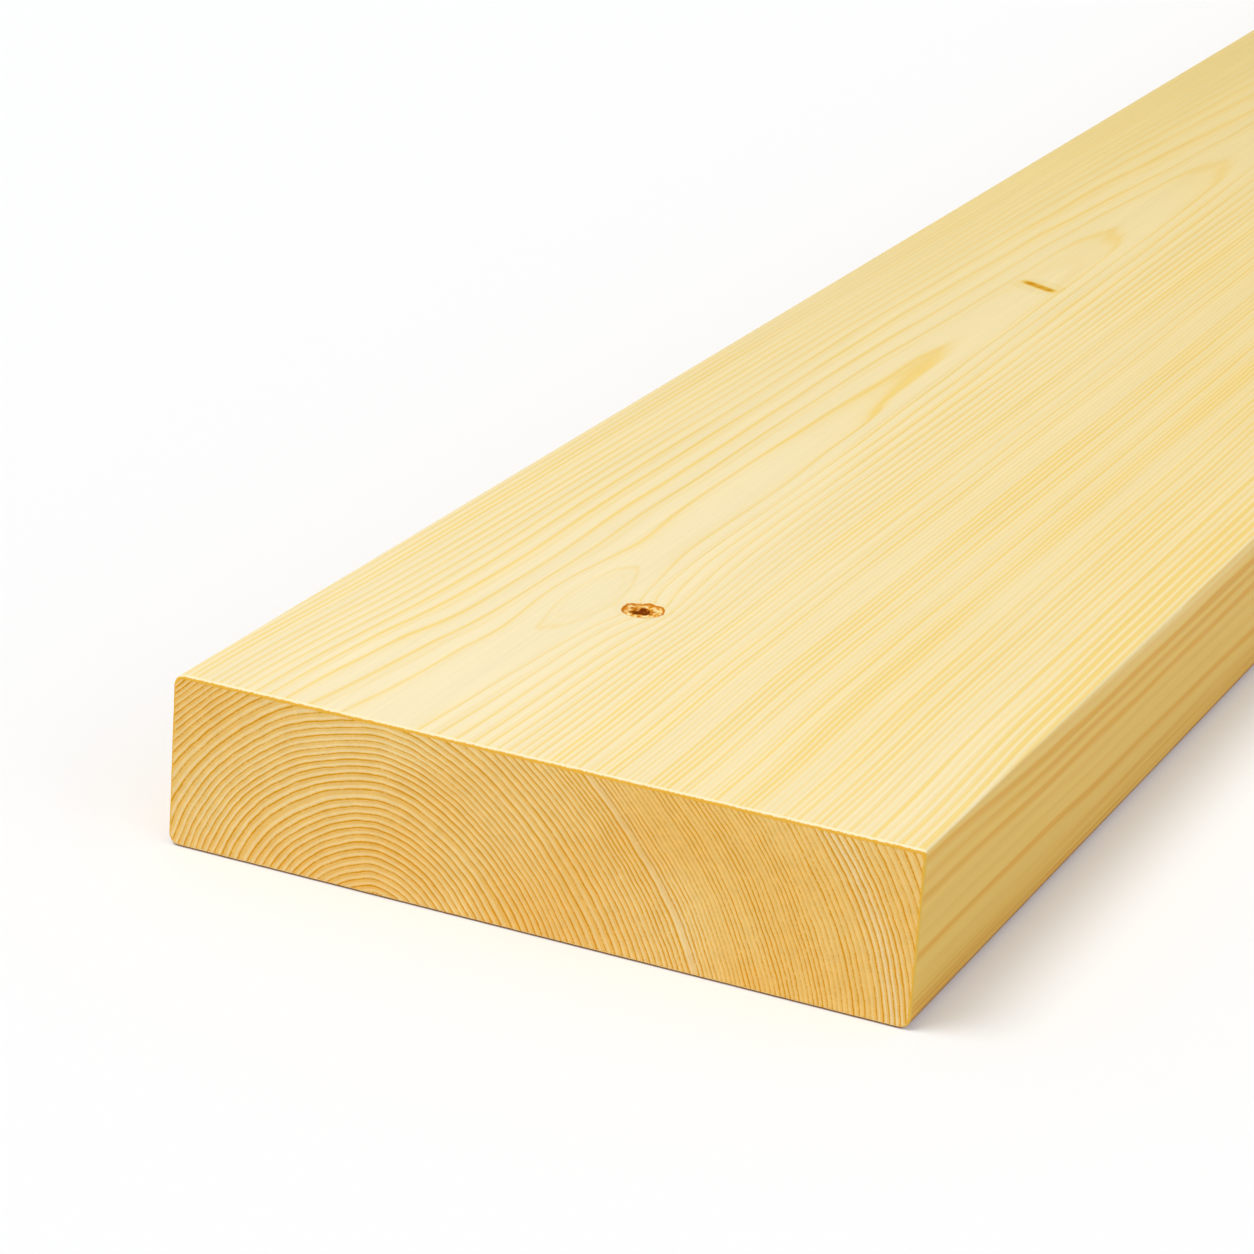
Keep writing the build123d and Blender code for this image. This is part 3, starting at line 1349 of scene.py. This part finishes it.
@dataclass
class Plank:
    """The whole plank, as one piece.

    Attributes:
        stock: The sizes of the plank.
        rings: Its growth rings.
        knot: The dead knot.
        pocket: The resin pocket.
        arris_steps: How many flats an arris has.
        rim_gap: How far apart the points of a rim are.
        support: How far from an arris the next edge along the plank runs.
        stations: How far from each end the edges along the plank have a point.
        filling: How far from each end loose points lie, and how far apart.
        bare_side: How far from an arris the loose points start.
        weld: How close together points are joined.
        name: The name of the piece.
    """

    stock: Stock
    rings: GrowthRings
    knot: Knot
    pocket: ResinPocket
    arris_steps: int = 8
    rim_gap: float = 0.63
    support: float = 0.7
    stations: tuple[float, ...] = (1.7, 4.0, 9.0, 20.0, 45.0, 100.0, 190.0, 300.0, 480.0, 720.0, 960.0)
    filling: Curve = ((1.7, 1.6), (4.0, 3.6), (9.0, 8.0), (20.0, 17.0), (45.0, 40.0))
    bare_side: float = 1.2
    weld: float = 0.004
    name: str = "sawn_plank"

    def _bend(self, run: Run) -> Array:
        """Where edges run along an arris, fewer of them where it is crisp."""
        number = max(self.arris_steps // 2, int(self.arris_steps * run.radius / self.stock.arris))
        return np.linspace(run.end, run.after, number, endpoint=False)

    def _rim_ways(self) -> Array:
        """Lay out the points of a rim.

        Returns:
            Where they lie, going round the section.
        """
        ways = []
        for run in self.stock.runs:
            number = int((run.end - run.start) / self.rim_gap)
            inner = np.linspace(run.start + self.support, run.end - self.support, number)
            ways += [[run.start], inner, self._bend(run)]
        return np.concatenate(ways)

    def _lines(self) -> Array:
        """Lay out the edges that run the whole length of the plank.

        Returns:
            Where they lie, going round the section.
        """
        ways = []
        for run in self.stock.runs:
            ways += [[run.start, run.start + self.support, run.end - self.support], self._bend(run)]
        return np.concatenate([*ways, [self.stock.around]])

    def _ragged(self, ways: Array, seed: int) -> tuple[Array, Array]:
        """Uneven numbers for the broken fibres round a rim.

        Args:
            ways: The way round at each point.
            seed: Which numbers.

        Returns:
            Slow and fast variation, each from 0 to 1, the same at both ends of the way round.
        """
        turn = ways / self.stock.around * 2 * math.pi
        draws = np.random.default_rng(seed)
        slow = sum(np.sin(turn * k + draws.uniform(0, 6.28)) for k in (23, 41, 67, 101)) / 8 + 0.5
        fast = draws.uniform(0, 1, len(ways))
        return np.clip(slow, 0, 1), fast

    def _rim(self, skin: Skin, end: SawnEnd, relief: RingRelief) -> Array:
        """Add a worn rim and the sawn end inside it.

        Args:
            skin: The plank's mesh so far.
            end: The end to build.
            relief: The tree that knows the rings' ages.

        Returns:
            The way round and the place along the plank of the rim's outer edge.
        """
        ways = self._rim_ways()
        slow, fast = self._ragged(ways, end.seed)
        rim = self.stock.rim
        rows = []
        for inset, back in (
            (0.0 * slow, rim + 0.12 * slow + 0.10 * fast),
            (0.15 * rim + 0.05 * slow, 0.50 * rim + 0.05 * slow),
            (0.45 * rim + 0.06 * slow + 0.05 * fast, 0.16 * rim + 0.03 * slow),
            (rim + 0.12 * slow + 0.12 * fast, 0.05 * slow * fast),
        ):
            flat, out = self.stock.outline(ways, inset)
            rows.append(np.stack([flat[:, 0], end.plane + end.away * back, flat[:, 1]], 1))
        count = len(ways)
        here = np.arange(count)
        ahead = np.roll(here, -1)
        triangles = []
        for row in range(len(rows) - 1):
            a, b = here + row * count, ahead + row * count
            triangles += [np.stack([a, b, b + count], 1), np.stack([a, b + count, a + count], 1)]
        points = np.concatenate(rows)
        outward = np.tile(np.stack([out[:, 0], np.full(count, -end.away), out[:, 1]], 1), (len(rows), 1))
        level = np.zeros(len(points))
        skin.add(points, np.concatenate(triangles), Part.SAWN.value, outward, np.tile(ways, len(rows)), level)
        second, _ = self.stock.outline(ways[::2] + self.rim_gap / 2, rim + 0.5 + 0.1 * fast[::2])
        apart = np.linalg.norm(second - np.roll(second, 1, axis=0), axis=1)
        end.build(skin, rows[-1], second[apart > 0.3], relief, self.rings)
        return np.stack([ways, rows[0][:, 1]], 1)

    def _long_faces(self, skin: Skin, near: Array, far: Array) -> None:
        """Add the planed faces, edges and arrises between the two rims.

        Args:
            skin: The plank's mesh so far.
            near: The near rim's way round and place along.
            far: The far rim's.
        """
        stock = self.stock
        closed = [np.concatenate([rim, [[stock.around, rim[0, 1]]]]) for rim in (near, far)]
        points: list[Array] = []
        edges: list[tuple[int, int]] = []
        count = 0

        def run(chain: Array) -> None:
            """Add points joined by edges.

            Args:
                chain: The points, in order.
            """
            nonlocal count
            points.append(chain)
            edges.extend((count + k, count + k + 1) for k in range(len(chain) - 1))
            count += len(chain)

        for rim in closed:
            run(rim)
        steps = np.array(self.stations)
        stations = np.concatenate([steps, [stock.length / 2], stock.length - steps[::-1]])
        for way in self._lines():
            ends = [np.interp(way, rim[:, 0], rim[:, 1]) for rim in closed]
            along = np.concatenate([[ends[0]], stations, [ends[1]]])
            run(np.stack([np.full(len(along), way), along], 1))
        loose = []
        for side in stock.runs:
            for back, gap in self.filling:
                number = int((side.end - side.start) / gap)
                spread = side.start + (np.arange(number) + 0.5) * ((side.end - side.start) / max(number, 1))
                spread = spread[(spread > side.start + self.bare_side) & (spread < side.end - self.bare_side)]
                loose += [np.stack([spread, np.full(len(spread), y)], 1) for y in (back, stock.length - back)]
        middle = stock.upper.start + stock.width / 2 - stock.crisp_arris
        for patch in (self.knot.points(), self.pocket.points()):
            loose.append(np.stack([middle - patch[:, 0], patch[:, 1]], 1))
        points += loose
        spread_out = np.concatenate(points)
        used, triangles = flat_mesh(spread_out, edges)
        flat = spread_out[used]
        section, out = stock.outline(flat[:, 0])
        x, y = section[:, 0], flat[:, 1]
        upper = out[:, 1] > 0.999
        height = (self.knot.height(x, y) + self.pocket.height(x, y)) * upper
        space = np.stack([x, y, section[:, 1] + height], 1)
        mean = space[triangles].mean(1)
        part = np.full(len(triangles), Part.PLANED.value)
        for patch, sizes, reach in ((Part.KNOT, self.knot.sizes, 8.0), (Part.POCKET, self.pocket.sizes, 9.0)):
            near_it = np.hypot(mean[:, 0] - sizes.x, mean[:, 1] - sizes.y) < reach
            part[near_it & (mean[:, 2] > stock.thickness - stock.arris)] = patch.value
        outward = np.stack([out[:, 0], np.zeros(len(out)), out[:, 1]], 1)
        skin.add(space, triangles, part, outward, flat[:, 0], np.zeros(len(space)))

    def _finish_map(self, mesh: bpy.types.Mesh, skin: Skin) -> None:
        """Lay the surface out flat: the long faces side by side, the two ends and the small things below.

        Args:
            mesh: The mesh, with its triangles in the skin's order.
            skin: What the mesh was made from.
        """
        stock = self.stock
        points, ways = np.concatenate(skin.points), np.concatenate(skin.ways)
        triangles, parts = np.concatenate(skin.triangles), np.concatenate(skin.parts)
        corner, part = triangles.reshape(-1), np.repeat(parts, 3)
        x, y, z = points[corner].T
        places = np.zeros((len(corner), 2))
        page, side = 1024.0, 8.0
        small_row, end_row, long_row = 50.0, 106.0, 232.0
        places[:, 0] = side + ways[corner] * ((page - 2 * side) / stock.around)
        places[:, 1] = long_row + y * ((page - long_row - side) / stock.length)
        end_scale = (page / 2 - 1.5 * side) / stock.width
        for near, left in ((True, side), (False, page / 2 + side / 2)):
            on = (part == Part.SAWN.value) & ((y < stock.length / 2) == near)
            places[on] = np.stack([left + (x + stock.width / 2) * end_scale, end_row + z * end_scale], 1)[on]
        for island, sizes, left, scale in (
            (Part.KNOT, self.knot.sizes, 60.0, 5.0),
            (Part.POCKET, self.pocket.sizes, 180.0, 4.6),
        ):
            on = part == island.value
            places[on] = np.stack([left + (x - sizes.x) * scale, small_row + (y - sizes.y) * scale], 1)[on]
        layer = mesh.uv_layers.new(name="OFBake")
        layer.uv.foreach_set("vector", (places / page).astype(np.float32).ravel())

    def build(self, finishes: dict[Part, bpy.types.Material]) -> bpy.types.Object:
        """Make the plank.

        Args:
            finishes: The material of each part of its surface.

        Returns:
            The finished object, at the origin, with its place in its mesh.
        """
        relief = RingRelief(self.stock, self.rings, self.knot.sizes)
        skin = Skin()
        near = self._rim(skin, SawnEnd(self.stock, True, 11), relief)
        far = self._rim(skin, SawnEnd(self.stock, False, 12), relief)
        self._long_faces(skin, near, far)
        mesh = bpy.data.meshes.new("blank")
        points = in_metres(np.concatenate(skin.points), self.stock)
        mesh.from_pydata(points, [], np.concatenate(skin.triangles).tolist())
        self._finish_map(mesh, skin)
        sawn = mesh.attributes.new("sawn", "FLOAT", "POINT")
        sawn.data.foreach_set("value", np.concatenate(skin.sawn).astype(np.float32))
        part = mesh.attributes.new("part", "INT", "FACE")
        part.data.foreach_set("value", np.concatenate(skin.parts).astype(np.int32))
        shell = bmesh.new()
        shell.from_mesh(mesh)
        bmesh.ops.remove_doubles(shell, verts=shell.verts, dist=self.weld * MM)
        open_edges = sum(not edge.is_manifold for edge in shell.edges)
        for piece in shell.faces:
            piece.smooth = True
        shell.to_mesh(mesh)
        shell.free()
        made = relief.applied(mesh, finishes)
        made.name = self.name
        made.materials.pop(index=0)
        for spare in ("ring_age", "sawn", "part"):
            made.attributes.remove(made.attributes[spare])
        bpy.data.meshes.remove(mesh)
        plank = bpy.data.objects.new(self.name, made)
        bpy.context.scene.collection.objects.link(plank)
        log.info("%s: %d triangles, %d open edges", self.name, len(made.polygons), open_edges)
        return plank


@dataclass(frozen=True)
class Studio:
    """A pale floor, soft light from the upper left and the camera. Angles in degrees, places in metres."""

    camera_place: tuple[float, float, float] = (0.38181, -2.05520, 0.42699)
    camera_azimuth: float = 22.917
    camera_down: float = 20.365
    camera_roll: float = 4.17
    camera_lens: float = 124.22
    floor_size: float = 60.0
    sky: float = 0.50
    key: float = 0.53
    key_from: tuple[float, float, float] = (-0.30, -0.24, 0.92)
    key_softness: float = 28.0
    fill: float = 0.16
    fill_from: tuple[float, float, float] = (0.85, -0.35, 0.38)
    fill_softness: float = 60.0
    floor_tone: Rgb = (0.782, 0.785, 0.790)
    floor_glow: float = 0.168
    floor_gap: float = 0.00004

    def build(self) -> None:
        """Set up the floor, the lamps, the sky and the camera."""
        self._floor()
        self._sky()
        self._lamp("key", self.key, self.key_from, self.key_softness)
        self._lamp("fill", self.fill, self.fill_from, self.fill_softness)
        self._camera()
        bpy.context.scene.view_settings.view_transform = "Standard"

    @staticmethod
    def _seen_share(tree: Tree) -> Term:
        """Tell what is seen straight, in a reflection or through glass from what only lights.

        Args:
            tree: The tree to work in.

        Returns:
            1 for what is seen, and 0 for the rest.
        """
        path = tree.nodes.new("ShaderNodeLightPath")
        seen = (Term(tree, path.outputs[f"Is {name} Ray"]) for name in ("Camera", "Glossy", "Transmission"))
        return sum(seen).at_most(1.0)

    def _floor(self) -> None:
        """Make the pale floor, which keeps the plank's shadow."""
        half = self.floor_size / 2
        mesh = bpy.data.meshes.new("floor")
        corners = ((-half, -half), (half, -half), (half, half), (-half, half))
        mesh.from_pydata([(x, y, -self.floor_gap) for x, y in corners], [], [(0, 1, 2, 3)])
        floor = bpy.data.objects.new("floor", mesh)
        bpy.context.scene.collection.objects.link(floor)
        paint = bpy.data.materials.new("pale_floor")
        paint.use_nodes = True
        tree = paint.node_tree
        for name, value in {
            "Base Color": (*self.floor_tone, 1.0),
            "Roughness": 1.0,
            "Specular IOR Level": 0.0,
            "Emission Color": (1.0, 1.0, 1.0, 1.0),
            "Emission Strength": self._seen_share(tree) * self.floor_glow,
        }.items():
            plug(tree, value, tree.nodes["Principled BSDF"].inputs[name])
        mesh.materials.append(paint)

    def _sky(self) -> None:
        """Light everything evenly, and show white behind it."""
        world = bpy.data.worlds.new("soft_sky")
        world.use_nodes = True
        bpy.context.scene.world = world
        tree = world.node_tree
        back = tree.nodes["Background"]
        back.inputs["Color"].default_value = (1.0, 1.0, 1.0, 1.0)
        plug(tree, self._seen_share(tree) * (1.0 - self.sky) + self.sky, back.inputs["Strength"])

    @staticmethod
    def _lamp(name: str, level: float, source: tuple[float, float, float], softness: float) -> None:
        """Hang one far, soft lamp.

        Args:
            name: What it is called.
            level: How bright it makes white paper that faces it.
            source: The way to it.
            softness: How wide it looks from the plank.
        """
        lamp = bpy.data.lights.new(name, "SUN")
        lamp.energy = level * math.pi
        lamp.angle = math.radians(softness)
        holder = bpy.data.objects.new(name, lamp)
        holder.rotation_mode = "QUATERNION"
        holder.rotation_quaternion = Vector(source).to_track_quat("Z", "Y")
        bpy.context.scene.collection.objects.link(holder)

    def _camera(self) -> None:
        """Stand the camera at the near end, a little to the right."""
        turn, down = math.radians(self.camera_azimuth), math.radians(self.camera_down)
        ahead = Vector((-math.sin(turn) * math.cos(down), math.cos(turn) * math.cos(down), -math.sin(down)))
        lens = bpy.data.cameras.new("camera")
        lens.lens = self.camera_lens
        lens.sensor_width = 36.0
        lens.clip_start, lens.clip_end = 0.05, 100.0
        camera = bpy.data.objects.new("camera", lens)
        camera.rotation_mode = "QUATERNION"
        level = ahead.to_track_quat("-Z", "Y")
        camera.rotation_quaternion = level @ Quaternion((0.0, 0.0, 1.0), math.radians(self.camera_roll))
        camera.location = self.camera_place
        bpy.context.scene.collection.objects.link(camera)
        bpy.context.scene.camera = camera


def main() -> None:
    """Build the plank and its studio, and hand the plank to the frame."""
    logging.basicConfig(level=logging.INFO, format="%(name)s: %(message)s")
    stock, rings = Stock(), GrowthRings()
    knot, pocket = Knot(KnotSizes()), ResinPocket(PocketSizes())
    finish = TimberFinish(stock, rings, knot.sizes, pocket.sizes)
    plank = Plank(stock, rings, knot, pocket).build({part: finish.material(part) for part in Part})
    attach(plank, "root")
    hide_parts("plank")
    Studio().build()
    log.info("studio: floor, sky, two lamps and the camera")


if __name__ == "__main__":
    main()
